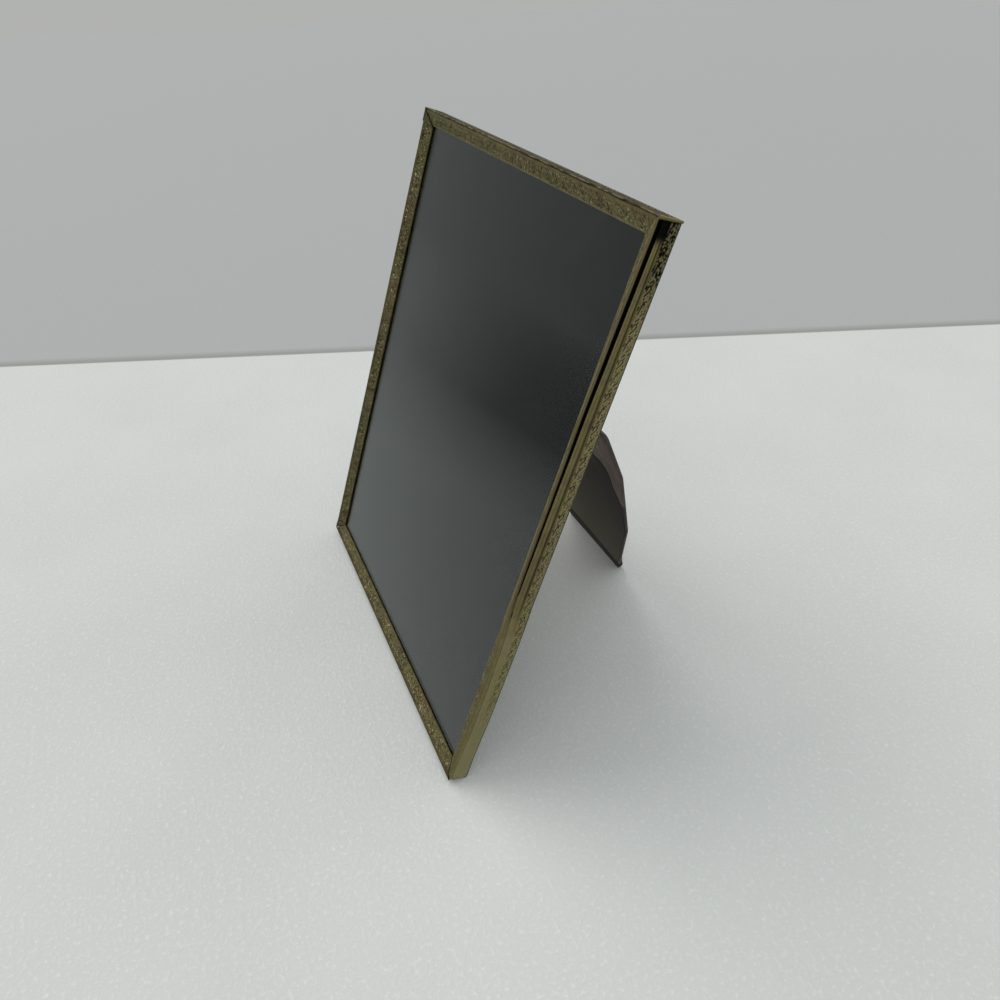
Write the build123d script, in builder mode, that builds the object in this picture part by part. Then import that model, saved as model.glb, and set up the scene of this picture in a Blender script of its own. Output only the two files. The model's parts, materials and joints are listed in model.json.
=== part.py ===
from build123d import *
import os
from math import cos, hypot, radians, sin

os.makedirs("parts", exist_ok=True)

# Picture, glass and what is packed behind it
picture_width = 203.2
picture_height = 254.0
glass_thickness = 2.0
backing_thickness = 0.3
card_thickness = 0.5
board_thickness = 1.5
cover_thickness = 0.2
side_clearance = 0.85
end_clearance = 1.85
fit = 0.05

# Section of the folded moulding
sheet = 0.4
flange_width = 1.5
rear_radius = 0.3
hem = 0.8
slot_gap = 1.1
slot_depth = 1.5
bead_height = 1.0
bead_inset = 0.25
groove_height = 1.0
groove_depth = 0.45
smooth_width = 2.1
smooth_drop = 0.3
face_width = 7.1
sight_drop = 3.0
lip_height = 0.6
lip_return = 1.0

# Corners of the moulding
mitre_gap = 0.08
tongue_overhang = 0.9
key_width = 2.6
key_arm = 20.0
key_chamfer = 0.7

# Turn buttons and their rivets
button_thickness = 0.6
button_room = 0.25
button_heel_radius = 3.2
button_tip_radius = 2.0
button_tip_play = 0.2
button_pivot_inset = 8.5
button_shank_radius = 1.0
button_head_radius = 1.9
button_head_rise = 0.5
low_button_share = 0.27
high_button_share = 0.73
head_flat_share = 0.55

# Hinge and its rivets
hinge_drop = 39.4
hinge_width = 30.0
leaf_thickness = 0.7
leaf_length = 21.0
leaf_corner_radius = 5.0
crank_run = 6.0
pin_radius = 0.8
pin_head_radius = 1.3
pin_head_length = 0.6
knuckle_wall = 0.75
knuckle_gap = 0.25
leaf_shank_radius = 1.0
leaf_head_radius = 1.9
leaf_head_rise = 0.6
leaf_rivet_spread = 9.0
leaf_rivet_edge = 6.0
rivet_bite = 1.1

# Easel leg, with the lean of the frame and of the leg itself from upright
lean = radians(19)
leg_slope = radians(18.6)
leg_board_thickness = 2.0
leg_cover_thickness = 0.25
lining_thickness = 0.15
binding_thickness = 0.3
fold_gap = 0.3
stop_clearance = 0.03
notch_clearance = 0.6
shoulder_half = 25.0
neck_half = 27.0
foot_left = 52.0
foot_right = 11.0
toe_reach = 57.0
toe_rounding = 4.0
neck_rounding = 8.0
slant_shares = ((0.772, 0.31), (1, 0.537), (0.93, 0.655))
lining_right_share = 0.73
lining_step_share = 0.433
lining_top_share = 0.525
lining_margin = 0.8
lining_rounding = 4.0
binding_left = 11.8
binding_right = 6.9

# Heights above the frame's rear plane, from the rear flange to the front of the face
button_level = sheet + button_room
cover_level = button_level + button_thickness + fit
board_level = cover_level + cover_thickness
card_level = board_level + board_thickness + fit
backing_level = card_level + card_thickness + fit
glass_level = backing_level + backing_thickness + fit
lip_level = glass_level + glass_thickness + fit
sight_level = lip_level + lip_height
frame_depth = sight_level + sight_drop

# Outside of the frame, worked out from the picture
web = groove_depth + sheet
frame_width = picture_width + 2 * (web + side_clearance)
frame_height = picture_height + 2 * (web + end_clearance)
half_width = frame_width / 2
half_height = frame_height / 2
hinge_height = frame_height - hinge_drop

# Leg and hinge seen from the side. The pin stands off the frame's rear plane far enough for
# the bound foot of the folded leg to clear it, and the open leg ends on the floor.
leg_thickness = leg_board_thickness + 2 * leg_cover_thickness
bore_radius = pin_radius + fit
barrel_radius = bore_radius + knuckle_wall
leg_outer = barrel_radius - leaf_thickness
leg_inner = leg_thickness - leg_outer
binding_outer = leg_outer + binding_thickness
binding_inner = leg_inner + lining_thickness + binding_thickness
pin_set = binding_inner + fold_gap
opening = lean + leg_slope
rest_lift = rear_radius * (cos(lean) + sin(lean) - 1)
pin_back = hinge_height * sin(lean) + pin_set * cos(lean)
pin_up = hinge_height * cos(lean) - pin_set * sin(lean) - rest_lift
foot_reach = (pin_up - binding_inner * sin(leg_slope)) / cos(leg_slope)
leg_length = foot_reach - binding_thickness
shoulder_rise = (pin_set + cover_level - leg_inner * cos(opening)) / sin(opening) - stop_clearance

# Planes. The origin is on the floor under the middle of the standing object. The plane face
# has x to the right, y up the frame and z to its front; the plane leg has x to the right,
# y up the leg and z towards the frame. The two side planes look along the hinge pin.
front_reach = hem / 2 + (frame_depth - hem / 2) * cos(lean) - hem / 2 * sin(lean)
rear_reach = pin_back + foot_reach * sin(leg_slope) + binding_outer * cos(leg_slope)
seat = (front_reach - rear_reach) / 2
face = Plane(origin=(0, seat, -rest_lift), x_dir=(1, 0, 0), z_dir=(0, -cos(lean), sin(lean)))
pin_point = face.from_local_coords(Vector(0, hinge_height, -pin_set))
leg = Plane(origin=pin_point, x_dir=(1, 0, 0), z_dir=(0, -cos(leg_slope), -sin(leg_slope)))
frame_side = Plane(origin=pin_point, x_dir=face.y_dir, z_dir=(-1, 0, 0))
leg_side = Plane(origin=pin_point, x_dir=leg.y_dir, z_dir=(-1, 0, 0))


def save(piece, name):
    """Label a finished piece and write it to its own file."""
    piece.part.label = name
    export_step(piece.part, f"parts/{name}.step")


def frame_point(right, up, level=0):
    """A point by its place on the frame: right of the middle, up from the bottom, and height."""
    return face.from_local_coords(Vector(right, up, level))


# Moulding: one section, carried along each side and cut to a mitre at both ends
face_fall = (sight_drop - smooth_drop) / (face_width - smooth_width)
slope_sheet = sheet * hypot(1, face_fall)
slot_top = frame_depth - hem
slot_bottom = slot_top - slot_gap
bead_middle = slot_bottom - bead_height
bead_bottom = bead_middle - bead_height
groove_bottom = bead_bottom - groove_height
groove_middle = (groove_bottom + bead_bottom) / 2
slot_back = slot_depth + sheet
lip_back = face_width - lip_return
lip_round = lip_height / 2
lip_start = face_width - lip_round


def face_height(inward):
    """Height of the face's sloping outer skin at a distance inward from the outer wall."""
    return sight_level + (face_width - inward) * face_fall


# Section of the moulding: x inward from the outer wall, y forward from the rear plane
with BuildSketch() as moulding_section:
    with BuildLine():
        Line((flange_width, 0), (rear_radius, 0))
        CenterArc((rear_radius, rear_radius), rear_radius, 180, 90)
        Line((0, rear_radius), (0, groove_bottom))
        ThreePointArc((0, groove_bottom), (groove_depth, groove_middle), (bead_inset, bead_bottom))
        for low, high in ((bead_bottom, bead_middle), (bead_middle, slot_bottom)):
            ThreePointArc((bead_inset, low), (0, (low + high) / 2), (bead_inset, high))
        Polyline((bead_inset, slot_bottom), (slot_depth, slot_bottom), (slot_depth, slot_top),
                 (hem / 2, slot_top))
        ThreePointArc((hem / 2, slot_top), (0, slot_top + hem / 2), (hem / 2, frame_depth))
        Polyline((hem / 2, frame_depth), (smooth_width, frame_depth - smooth_drop),
                 (lip_start, face_height(lip_start)))
        ThreePointArc((lip_start, face_height(lip_start)), (face_width, lip_level + lip_round),
                      (lip_start, lip_level))
        Polyline((lip_start, lip_level), (lip_back, lip_level),
                 (lip_back, face_height(lip_back) - slope_sheet),
                 (slot_back, face_height(slot_back) - slope_sheet),
                 (slot_back, slot_bottom - sheet), (web, slot_bottom - sheet),
                 (web, groove_bottom), (sheet, groove_bottom - sheet), (sheet, sheet),
                 (flange_width, sheet), (flange_width, 0))
    make_face()


def mitred_length(middle, inward, length):
    """One side of the frame, the middle of its outer wall's rear edge at the point middle."""
    along = inward.cross(face.z_dir)
    with BuildPart() as piece:
        with BuildSketch(Plane(origin=middle, x_dir=inward, z_dir=along)):
            add(moulding_section.sketch)
        extrude(amount=length / 2, both=True)
        for way in (along, -along):
            corner = middle + way * (length / 2 - mitre_gap / 2)
            split(bisect_by=Plane(origin=corner, z_dir=-(way + inward)))
    return piece.part


with BuildPart() as bottom_rail:
    add(mitred_length(frame_point(0, 0), face.y_dir, frame_width))
save(bottom_rail, "bottom_rail")

# The wall of the top rail runs on as a tongue over the end of each stile and a little past it,
# so the stiles are cut short under it
with BuildPart() as top_rail:
    add(mitred_length(frame_point(0, frame_height), -face.y_dir, frame_width))
    tongue_root = half_width - sheet - mitre_gap
    tongue_end = half_width + tongue_overhang
    tongue_middle = (tongue_root + tongue_end) / 2
    with BuildSketch(face):
        with Locations(*[(way * tongue_middle, frame_height - sheet / 2) for way in (-1, 1)]):
            Rectangle(tongue_end - tongue_root, sheet)
    extrude(amount=frame_depth)
save(top_rail, "top_rail")

for name, way in (("left_stile", -1), ("right_stile", 1)):
    with BuildPart() as stile:
        add(mitred_length(frame_point(way * half_width, half_height), face.x_dir * -way, frame_height))
        stile_end = frame_point(0, frame_height - sheet - mitre_gap)
        split(bisect_by=Plane(origin=stile_end, z_dir=-face.y_dir))
    save(stile, name)

# Corner keys: flat angles in the hollow under the face that hold each mitre together
key_start = slot_back + fit
key_end = key_start + key_width
key_thickness = face_height(key_end) - slope_sheet - lip_level - 2 * fit
key_steps = [(key_start, key_start), (key_arm, key_start), (key_arm, key_end),
             (key_end, key_end), (key_end, key_arm), (key_start, key_arm)]
for end_name, end in (("top", 1), ("bottom", -1)):
    for side_name, side in (("left", -1), ("right", 1)):
        with BuildPart() as corner_key:
            with BuildSketch(face.offset(lip_level)):
                with BuildLine():
                    Polyline(*[(side * (half_width - x), half_height + end * (half_height - y))
                               for x, y in key_steps], close=True)
                make_face()
                chamfer(vertices(), length=key_chamfer)
            extrude(amount=key_thickness)
        save(corner_key, f"corner_key_{end_name}_{side_name}")

# Places of the turn buttons, each with the way it points, and of the rivets in the hinge leaves
side_pivot = half_width - button_pivot_inset
button_places = [
    (-side_pivot, high_button_share * frame_height, (-1, 0)),
    (-side_pivot, low_button_share * frame_height, (-1, 0)),
    (0, button_pivot_inset, (0, -1)),
    (side_pivot, low_button_share * frame_height, (1, 0)),
    (side_pivot, high_button_share * frame_height, (1, 0)),
    (0, frame_height - button_pivot_inset, (0, 1)),
]
button_points = [(right, up) for right, up, pointing in button_places]
far_rivet = leaf_length - leaf_rivet_edge
leaf_points = [(-leaf_rivet_spread, far_rivet), (leaf_rivet_spread, far_rivet)]
fixed_leaf_points = [(right, hinge_height + along) for right, along in leaf_points]
moving_leaf_points = [(right, -along) for right, along in leaf_points]


def picture_sheet(level, thickness):
    """A plain sheet of the picture's size, its rear face at a level above the rear plane."""
    with BuildPart() as piece:
        with BuildSketch(face.offset(level)):
            with Locations((0, half_height)):
                Rectangle(picture_width, picture_height)
        extrude(amount=thickness)
    return piece.part


def rivet_bores(plane, points, radius, depth):
    """The room that rivet shanks of one radius need, running along the plane's z."""
    with BuildPart() as piece:
        with BuildSketch(plane):
            with Locations(*points):
                Circle(radius + fit)
        extrude(amount=depth)
    return piece.part


with BuildPart() as glass_pane:
    add(picture_sheet(glass_level, glass_thickness))
save(glass_pane, "glass_pane")

with BuildPart() as backing_sheet:
    add(picture_sheet(backing_level, backing_thickness))
save(backing_sheet, "backing_sheet")

with BuildPart() as filler_card:
    add(picture_sheet(card_level, card_thickness))
save(filler_card, "filler_card")

rivet_room = board_level - cover_level + rivet_bite + fit
button_bores = rivet_bores(face.offset(cover_level), button_points, button_shank_radius, rivet_room)
leaf_bores = rivet_bores(face.offset(cover_level), fixed_leaf_points, leaf_shank_radius, rivet_room)

with BuildPart() as back_board:
    add(picture_sheet(board_level, board_thickness))
    add(button_bores, mode=Mode.SUBTRACT)
    add(leaf_bores, mode=Mode.SUBTRACT)
save(back_board, "back_board")

with BuildPart() as back_cover:
    add(picture_sheet(cover_level, cover_thickness))
    add(button_bores, mode=Mode.SUBTRACT)
    add(leaf_bores, mode=Mode.SUBTRACT)
save(back_cover, "back_cover")

# Turn buttons: pear-shaped plates that reach under the rear flange, each turning on a rivet
tip_reach = button_pivot_inset - sheet - button_tip_play - button_tip_radius
for number, (right, up, (out_right, out_up)) in enumerate(button_places, 1):
    with BuildPart() as turn_button:
        crosswise = face.x_dir * out_up - face.y_dir * out_right
        pivot = frame_point(right, up, button_level)
        with BuildSketch(Plane(origin=pivot, x_dir=crosswise, z_dir=face.z_dir)):
            Circle(button_heel_radius)
            with Locations((0, tip_reach)):
                Circle(button_tip_radius)
            make_hull()
            Circle(button_shank_radius + fit, mode=Mode.SUBTRACT)
        extrude(amount=button_thickness)
    save(turn_button, f"turn_button_{number}")


def rivets(places, shank_radius, shank_length, head_radius, head_rise):
    """One rivet at each plane: a shank below the plane and a bevelled head above it."""
    with BuildPart() as rivet:
        with BuildSketch(Plane.XZ):
            with BuildLine():
                Polyline((0, head_rise), (0, -shank_length), (shank_radius, -shank_length),
                         (shank_radius, 0), (head_radius, 0), (head_radius * head_flat_share, head_rise),
                         close=True)
            make_face()
        revolve(axis=Axis.Z)
    with BuildPart() as piece:
        with Locations(*[place.location for place in places]):
            add(rivet.part)
    return piece.part


def behind(right, up, level):
    """A plane on the back of the frame, facing the rear."""
    return Plane(origin=frame_point(right, up, level), x_dir=-face.x_dir, z_dir=-face.z_dir)


with BuildPart() as button_rivets:
    button_shank = button_thickness + 2 * fit + cover_thickness + rivet_bite
    heads = [behind(right, up, button_level - fit) for right, up in button_points]
    add(rivets(heads, button_shank_radius, button_shank, button_head_radius, button_head_rise))
save(button_rivets, "button_rivets")

# Hinge: two leaves rolled round one pin, with the leg's knuckle between the two of the frame
plate_set = pin_set + cover_level
relief = barrel_radius + knuckle_gap
half_knuckle = hinge_width / 6 - knuckle_gap / 2
half_hinge = hinge_width / 2

with BuildPart() as hinge_leaf_fixed:
    with BuildSketch(frame_side):
        Circle(barrel_radius)
        Polygon((0, -barrel_radius), (crank_run, -plate_set), (leaf_length, -plate_set),
                (leaf_length, leaf_thickness - plate_set), (crank_run, leaf_thickness - plate_set),
                (0, leaf_thickness - barrel_radius), align=None)
        Circle(bore_radius, mode=Mode.SUBTRACT)
    extrude(amount=half_hinge, both=True)
    plate_ends = edges().filter_by(Axis(pin_point, face.z_dir)).group_by(Axis(pin_point, face.y_dir))[-1]
    fillet(plate_ends, radius=leaf_corner_radius)
    with BuildSketch(frame_side):
        Rectangle(2 * relief, 2 * relief)
    extrude(amount=half_knuckle + knuckle_gap, both=True, mode=Mode.SUBTRACT)
    leaf_back = face.offset(cover_level - leaf_thickness)
    add(rivet_bores(leaf_back, fixed_leaf_points, leaf_shank_radius, leaf_thickness), mode=Mode.SUBTRACT)
save(hinge_leaf_fixed, "hinge_leaf_fixed")

with BuildPart() as hinge_leaf_moving:
    with BuildSketch(leg_side):
        Circle(barrel_radius)
        Polygon((0, leg_outer), (0, barrel_radius), (-leaf_length, barrel_radius),
                (-leaf_length, leg_outer), align=None)
        Circle(bore_radius, mode=Mode.SUBTRACT)
    extrude(amount=half_hinge, both=True)
    plate_ends = edges().filter_by(Axis(pin_point, leg.z_dir)).group_by(Axis(pin_point, leg.y_dir))[0]
    fillet(plate_ends, radius=leaf_corner_radius)
    for side in (1, -1):
        with BuildSketch(leg_side.offset(side * half_knuckle)):
            Rectangle(2 * relief, 2 * relief)
        extrude(amount=side * half_hinge, mode=Mode.SUBTRACT)
    leaf_back = leg.offset(-barrel_radius)
    add(rivet_bores(leaf_back, moving_leaf_points, leaf_shank_radius, leaf_thickness), mode=Mode.SUBTRACT)
save(hinge_leaf_moving, "hinge_leaf_moving")

with BuildPart() as hinge_pin:
    with BuildSketch(frame_side):
        Circle(pin_radius)
    extrude(amount=half_hinge + pin_head_length, both=True)
    for side in (1, -1):
        with BuildSketch(frame_side.offset(side * (half_hinge + fit))):
            Circle(pin_head_radius)
        extrude(amount=side * pin_head_length)
save(hinge_pin, "hinge_pin")

with BuildPart() as fixed_leaf_rivets:
    heads = [behind(right, up, cover_level - leaf_thickness) for right, up in fixed_leaf_points]
    fixed_shank = leaf_thickness + cover_thickness + rivet_bite
    add(rivets(heads, leaf_shank_radius, fixed_shank, leaf_head_radius, leaf_head_rise))
save(fixed_leaf_rivets, "fixed_leaf_rivets")

with BuildPart() as moving_leaf_rivets:
    spots = [leg.from_local_coords(Vector(right, up, -barrel_radius)) for right, up in moving_leaf_points]
    heads = [Plane(origin=spot, x_dir=-leg.x_dir, z_dir=-leg.z_dir) for spot in spots]
    moving_shank = leaf_thickness + leg_cover_thickness + rivet_bite
    add(rivets(heads, leaf_shank_radius, moving_shank, leaf_head_radius, leaf_head_rise))
save(moving_leaf_rivets, "moving_leaf_rivets")

# Leg: a board in a covering that is open at the foot. Its shoulders beside the hinge rise
# above the pin and bear on the back as the stop, and its slanted edge is the foot for
# standing the frame on its long side.
notch_half = half_hinge + pin_head_length + notch_clearance
notch_floor = -barrel_radius - notch_clearance
leg_span = foot_left + toe_reach
slant = [(toe_reach * reach, leg_length * (rise - 1)) for reach, rise in slant_shares]
toe_corner = slant[-1]
neck_corner = (neck_half, toe_corner[1])


def leg_outline(foot_extra=0):
    """The leg seen square on: x to the right and y up from the pin."""
    foot = -leg_length - foot_extra
    with BuildSketch() as outline:
        with BuildLine():
            Polyline((-foot_left, foot), (foot_right, foot), *slant, neck_corner,
                     (shoulder_half, shoulder_rise), (notch_half, shoulder_rise),
                     (notch_half, notch_floor), (-notch_half, notch_floor),
                     (-notch_half, shoulder_rise), (-shoulder_half, shoulder_rise), close=True)
        make_face()
        fillet(outline.vertices().sort_by_distance(toe_corner)[0], radius=toe_rounding)
        fillet(outline.vertices().sort_by_distance(neck_corner)[0], radius=neck_rounding)
    return outline.sketch


leg_back = leg.offset(-leg_outer)
leg_rivet_room = leg_cover_thickness + rivet_bite + fit
leg_bores = rivet_bores(leg_back, moving_leaf_points, leaf_shank_radius, leg_rivet_room)

with BuildPart() as leg_board:
    with BuildSketch(leg.offset(leg_cover_thickness - leg_outer)):
        add(leg_outline(leg_cover_thickness))
        offset(amount=-leg_cover_thickness, kind=Kind.INTERSECTION, mode=Mode.REPLACE)
    extrude(amount=leg_board_thickness)
    core = leg_board.part
    add(leg_bores, mode=Mode.SUBTRACT)
save(leg_board, "leg_board")

with BuildPart() as leg_cover:
    with BuildSketch(leg_back):
        add(leg_outline())
    extrude(amount=leg_thickness)
    add(core, mode=Mode.SUBTRACT)
    add(leg_bores, mode=Mode.SUBTRACT)
save(leg_cover, "leg_cover")

lining_right = toe_reach * lining_right_share
lining_step = leg_length * (lining_step_share - 1)
lining_top = leg_length * (lining_top_share - 1)

with BuildPart() as leg_lining:
    with BuildSketch(leg.offset(leg_inner)):
        add(leg_outline(lining_margin))
        offset(amount=-lining_margin, kind=Kind.INTERSECTION, mode=Mode.REPLACE)
        Polygon((-foot_left, -leg_length), (toe_reach, -leg_length), (toe_reach, lining_step),
                (lining_right, lining_step), (lining_right, lining_top), (-foot_left, lining_top),
                align=None, mode=Mode.INTERSECT)
        fillet(vertices().group_by(Axis.Y)[-1], radius=lining_rounding)
    extrude(amount=lining_thickness)
save(leg_lining, "leg_lining")

with BuildPart() as foot_binding:
    foot = -leg_length - binding_thickness
    with BuildSketch(leg.offset(-binding_outer)):
        add(leg_outline(binding_thickness))
        Polygon((-foot_left, foot), (toe_reach, foot), (toe_reach, binding_right - leg_length),
                (foot_right, binding_right - leg_length), (-foot_left, binding_left - leg_length),
                align=None, mode=Mode.INTERSECT)
    extrude(amount=binding_outer + binding_inner)
    with BuildSketch(leg_back):
        with Locations((0, -leg_length / 2)):
            Rectangle(2 * leg_span, leg_length)
    extrude(amount=leg_thickness + lining_thickness, mode=Mode.SUBTRACT)
save(foot_binding, "foot_binding")
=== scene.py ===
import bmesh
import bpy
import json
from math import cos, radians, sin

import numpy as np
from mathutils import Matrix, Vector


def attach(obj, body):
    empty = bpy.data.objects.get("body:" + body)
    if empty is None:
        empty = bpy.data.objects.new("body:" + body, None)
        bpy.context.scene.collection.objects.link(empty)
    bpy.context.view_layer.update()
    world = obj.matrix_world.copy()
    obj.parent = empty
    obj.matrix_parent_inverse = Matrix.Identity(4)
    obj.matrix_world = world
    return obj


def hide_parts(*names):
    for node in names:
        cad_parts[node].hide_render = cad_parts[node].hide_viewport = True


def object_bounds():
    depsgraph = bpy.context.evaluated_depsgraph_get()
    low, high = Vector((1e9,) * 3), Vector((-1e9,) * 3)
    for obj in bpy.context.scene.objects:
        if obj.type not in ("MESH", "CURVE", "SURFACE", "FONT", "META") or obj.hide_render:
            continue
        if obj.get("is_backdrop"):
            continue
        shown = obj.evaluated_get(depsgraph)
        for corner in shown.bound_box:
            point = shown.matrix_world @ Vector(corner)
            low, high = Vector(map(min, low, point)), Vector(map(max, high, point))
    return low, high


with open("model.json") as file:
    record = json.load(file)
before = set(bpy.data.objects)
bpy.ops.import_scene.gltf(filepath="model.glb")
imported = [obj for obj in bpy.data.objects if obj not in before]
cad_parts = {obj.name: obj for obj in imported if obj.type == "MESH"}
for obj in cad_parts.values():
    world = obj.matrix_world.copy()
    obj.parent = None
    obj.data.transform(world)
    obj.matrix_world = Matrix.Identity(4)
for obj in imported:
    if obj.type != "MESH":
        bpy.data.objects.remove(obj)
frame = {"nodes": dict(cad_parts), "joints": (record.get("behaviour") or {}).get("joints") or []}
cad_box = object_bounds()

# Lengths are in millimetres until a mesh is made
METRE = 1000

# Section of the folded brass moulding, as its rails have it
sheet = 0.4
flange_width = 1.5
rear_radius = 0.3
hem = 0.8
slot_gap = 1.1
slot_depth = 1.5
bead_height = 1.0
bead_inset = 0.25
groove_height = 1.0
groove_depth = 0.45
smooth_width = 2.1
smooth_drop = 0.3
face_width = 7.1
lip_height = 0.6
lip_return = 1.0
lip_space = 0.05

# Ornament of the moulding: the length of one repeat, its strokes, where the right stile's repeats
# start, and how far the lips beside its strokes, its bosses, its grit and the smooth strip's crease
# stand out or are sunk
pitch = 12.6
stroke_width = 0.52
stroke_depth = 0.26
scroll_start = 232.6
scroll_lip = 0.05
leaf_lip = 0.04
boss_height = 0.07
grit_depth = 0.07
crease_depth = 0.12
crease_inset = 0.85
crease_width = 0.16

# Shape of the old moulding: the step between its rows of points, and how far it is rounded
along_step = 0.31
wall_rounding = 1.7
end_rounding = 1.0

# The right stile's slot: its width at heights up the frame, and the small gap below its end
slot_widths = ((110, 0.0), (113, 0.5), (133, 0.75), (157, 0.95), (178, 1.35), (216, 1.75))
notch_up = 101
notch_width = 0.35

# How far the right stile's front edge stands forward of the others, or is pressed in, at heights
front_bow = ((6, 0.0), (30, -0.9), (62, -0.7), (88, 0.1), (115, 1.0), (190, 1.15), (225, 0.6), (255, 0.0))

# The right stile's worn foot: the heights from worn to sound, and from no scroll to a whole one,
# how far its wall stands outwards, and the heights over which it comes to that and goes back
worn_end = (84, 112)
scroll_end = (22, 62)
wall_splay = 0.8
splay_up = (14, 45)
splay_down = (84, 108)

# At the right stile's top: how far down from the end the dirt speckles with painted glints start and
# end, and how far the dirt with painted shadow under the top rail's overhang starts and ends
speckled = (42, 8)
top_dirt_and_shadow_reach = (10, 6)

# How much painted shade darkens the wall and the face of each length, how far the left stile's wall
# stands out at its foot, and the space between the stiles' ends and the top rail's wall
bottom_shade = (0.3, 0.4)
top_shade = (0.74, 0.04)
left_shade = (0.35, 0.43)
right_shade = (0.0, 0.16)
foot_bulge = 0.9
end_space = 0.08

# The open gap of each mitre
top_left_gap = 0.34
top_right_gap = 0.03
low_left_gap = 0.06
low_right_gap = 0.16

# The easel leg, to the right and up from the hinge pin: its foot, slanted side and toe, neck and
# shoulders, the lining's edge, the binding's height at the left and right, and its crushed edges
leg_foot = 9.6
slant = ((40.4, -156.5), (54.0, -105.0), (49.2, -79.0))
leg_neck = 27.0
leg_shoulder = 25.0
lining_out = 45.6
lining_right = 41.2
lining_step = -131.5
lining_turn = -119.0
lining_top = -105.0
binding_heights = (10.6, 6.1)
leg_skin = 0.2
edge_crush = 3.2

# The tip of a turn button, and the space between the black sheet and the glass
button_tip = 2.0
sheet_space = 0.08

# Finishes: how metallic the metals are, the colour of worn edges and of painted shade on the leg's
# edge, and the least angle of an edge that is kept sharp
brass_metallic = 0.8
worn_and_shaded_edge = (24, 20, 19)
sharp_angle = 38

# The photograph's camera: its place in metres, its directions, and its lens and sensor
eye = (0.29266, -0.13064, 0.31576)
look = (-0.7281, 0.3205, -0.6060)
upright = (-0.5455, 0.2645, 0.7953)
lens = 26.57
sensor = 36

# Stage, in metres: the floor just under the object, and the line where it turns greyer as a
# direction and a distance
floor_reach = 4.0
floor_height = -0.0001
wall_line = (0.3601, 0.9329)
wall_away = 0.3415

# What the glass and the metal see: directions to the front left, and the colours of the floor close
# to the object, at the side and in the middle, and of the room far away
front_left = (-0.76, -0.65)
room_front_left = (-0.79, -0.61)
near_gloss = (0.37, 0.395, 0.38, 1.0)
side_gloss = (0.29, 0.31, 0.3, 1.0)
middle_gloss = (0.15, 0.167, 0.16, 1.0)
far_gloss = (0.248, 0.266, 0.26, 1.0)

# Light: the grey that the camera sees behind the floor, the room and the lamp
wall_grey = (0.44, 0.447, 0.438, 1.0)
room_light = (0.94, 0.983, 1.0, 1.0)
room_strength = 0.77
lamp_strength = 1.12
lamp_colour = (1.0, 0.975, 0.94)
lamp_spread = 50
lamp_way = (0.56, 0.3, -0.76)


class Flat:
    """A plane of the object: an origin and its right, up and front directions, taken from a flat node."""

    def __init__(self, node, origin=(0, 0, 0)):
        points = node_points(node)
        thin = np.linalg.svd(points - points.mean(axis=0), full_matrices=False)[2][-1]
        self.front = thin if thin[1] < 0 else -thin
        self.right = np.array((1.0, 0.0, 0.0))
        self.up = np.cross(self.front, self.right)
        self.origin = np.array(origin, dtype=float)

    def at(self, right, up, front):
        """Points by their distances to the right, up and to the front of the origin."""
        right, up, front = np.broadcast_arrays(right, up, front)
        return (self.origin + right[..., None] * self.right + up[..., None] * self.up
                + front[..., None] * self.front)

    def reach(self, node):
        """Least and greatest distances of a node's points to the right, up and to the front."""
        local = (node_points(node) - self.origin) @ np.array((self.right, self.up, self.front)).T
        return local.min(axis=0), local.max(axis=0)


def node_points(node):
    """All points of a CAD node, in millimetres."""
    vertices = frame["nodes"][node].data.vertices
    flat = np.empty(3 * len(vertices))
    vertices.foreach_get("co", flat)
    return flat.reshape(-1, 3) * METRE


# The face plane has its origin at the middle of the frame's bottom edge, on the rear plane
face = Flat("glass_pane")
face.origin = face.at(0, face.reach("bottom_rail")[0][1], face.reach("right_stile")[0][2])
half_width = face.reach("right_stile")[1][0]
frame_height = face.reach("top_rail")[1][1]
frame_depth = face.reach("right_stile")[1][2]
lip_level = face.reach("glass_pane")[1][2] + lip_space
sight_level = lip_level + lip_height
slot_top = frame_depth - hem
slot_bottom = slot_top - slot_gap
bead_middle = slot_bottom - bead_height
bead_bottom = bead_middle - bead_height
groove_bottom = bead_bottom - groove_height
face_fall = (frame_depth - smooth_drop - sight_level) / (face_width - smooth_width)

# The leg plane has its origin on the hinge pin, and its front is towards the frame
hinge = next(joint for joint in frame["joints"] if joint["name"] == "leg_fold")
leg = Flat("leg_lining", np.array(hinge["pos_m"]) * METRE)


def in_scene(name, data):
    """A new object in the scene."""
    item = bpy.data.objects.new(name, data)
    bpy.context.scene.collection.objects.link(item)
    return item


def make_piece(name, points, material, body, slot, *stands_for, faces=None):
    """A mesh piece from points in millimetres, with its faces turned outwards. Points without faces
    are rows round a closed outline."""
    faces = faces or loop_faces(*points.shape[:2])
    mesh = bpy.data.meshes.new(name)
    mesh.from_pydata((points.reshape(-1, 3) / METRE).tolist(), [], faces)
    shell = bmesh.new()
    shell.from_mesh(mesh)
    if shell.calc_volume(signed=True) < 0:
        bmesh.ops.reverse_faces(shell, faces=shell.faces)
    shell.to_mesh(mesh)
    shell.free()
    mesh.shade_smooth()
    mesh.set_sharp_from_angle(angle=radians(sharp_angle))
    mesh.materials.append(material)
    piece = in_scene(name, mesh)
    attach(piece, body)
    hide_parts(*stands_for)
    return piece


def loop_faces(rows, around):
    """Quads of a closed outline carried through rows of points, and one cap at each end."""
    start = np.arange(rows - 1)[:, None] * around
    here = np.arange(around)[None, :]
    beside = (here + 1) % around
    quads = np.stack((start + here, start + beside, start + around + beside, start + around + here), -1)
    first = list(range(around))[::-1]
    last = list(range((rows - 1) * around, rows * around))
    return quads.reshape(-1, 4).tolist() + [first, last]


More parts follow.
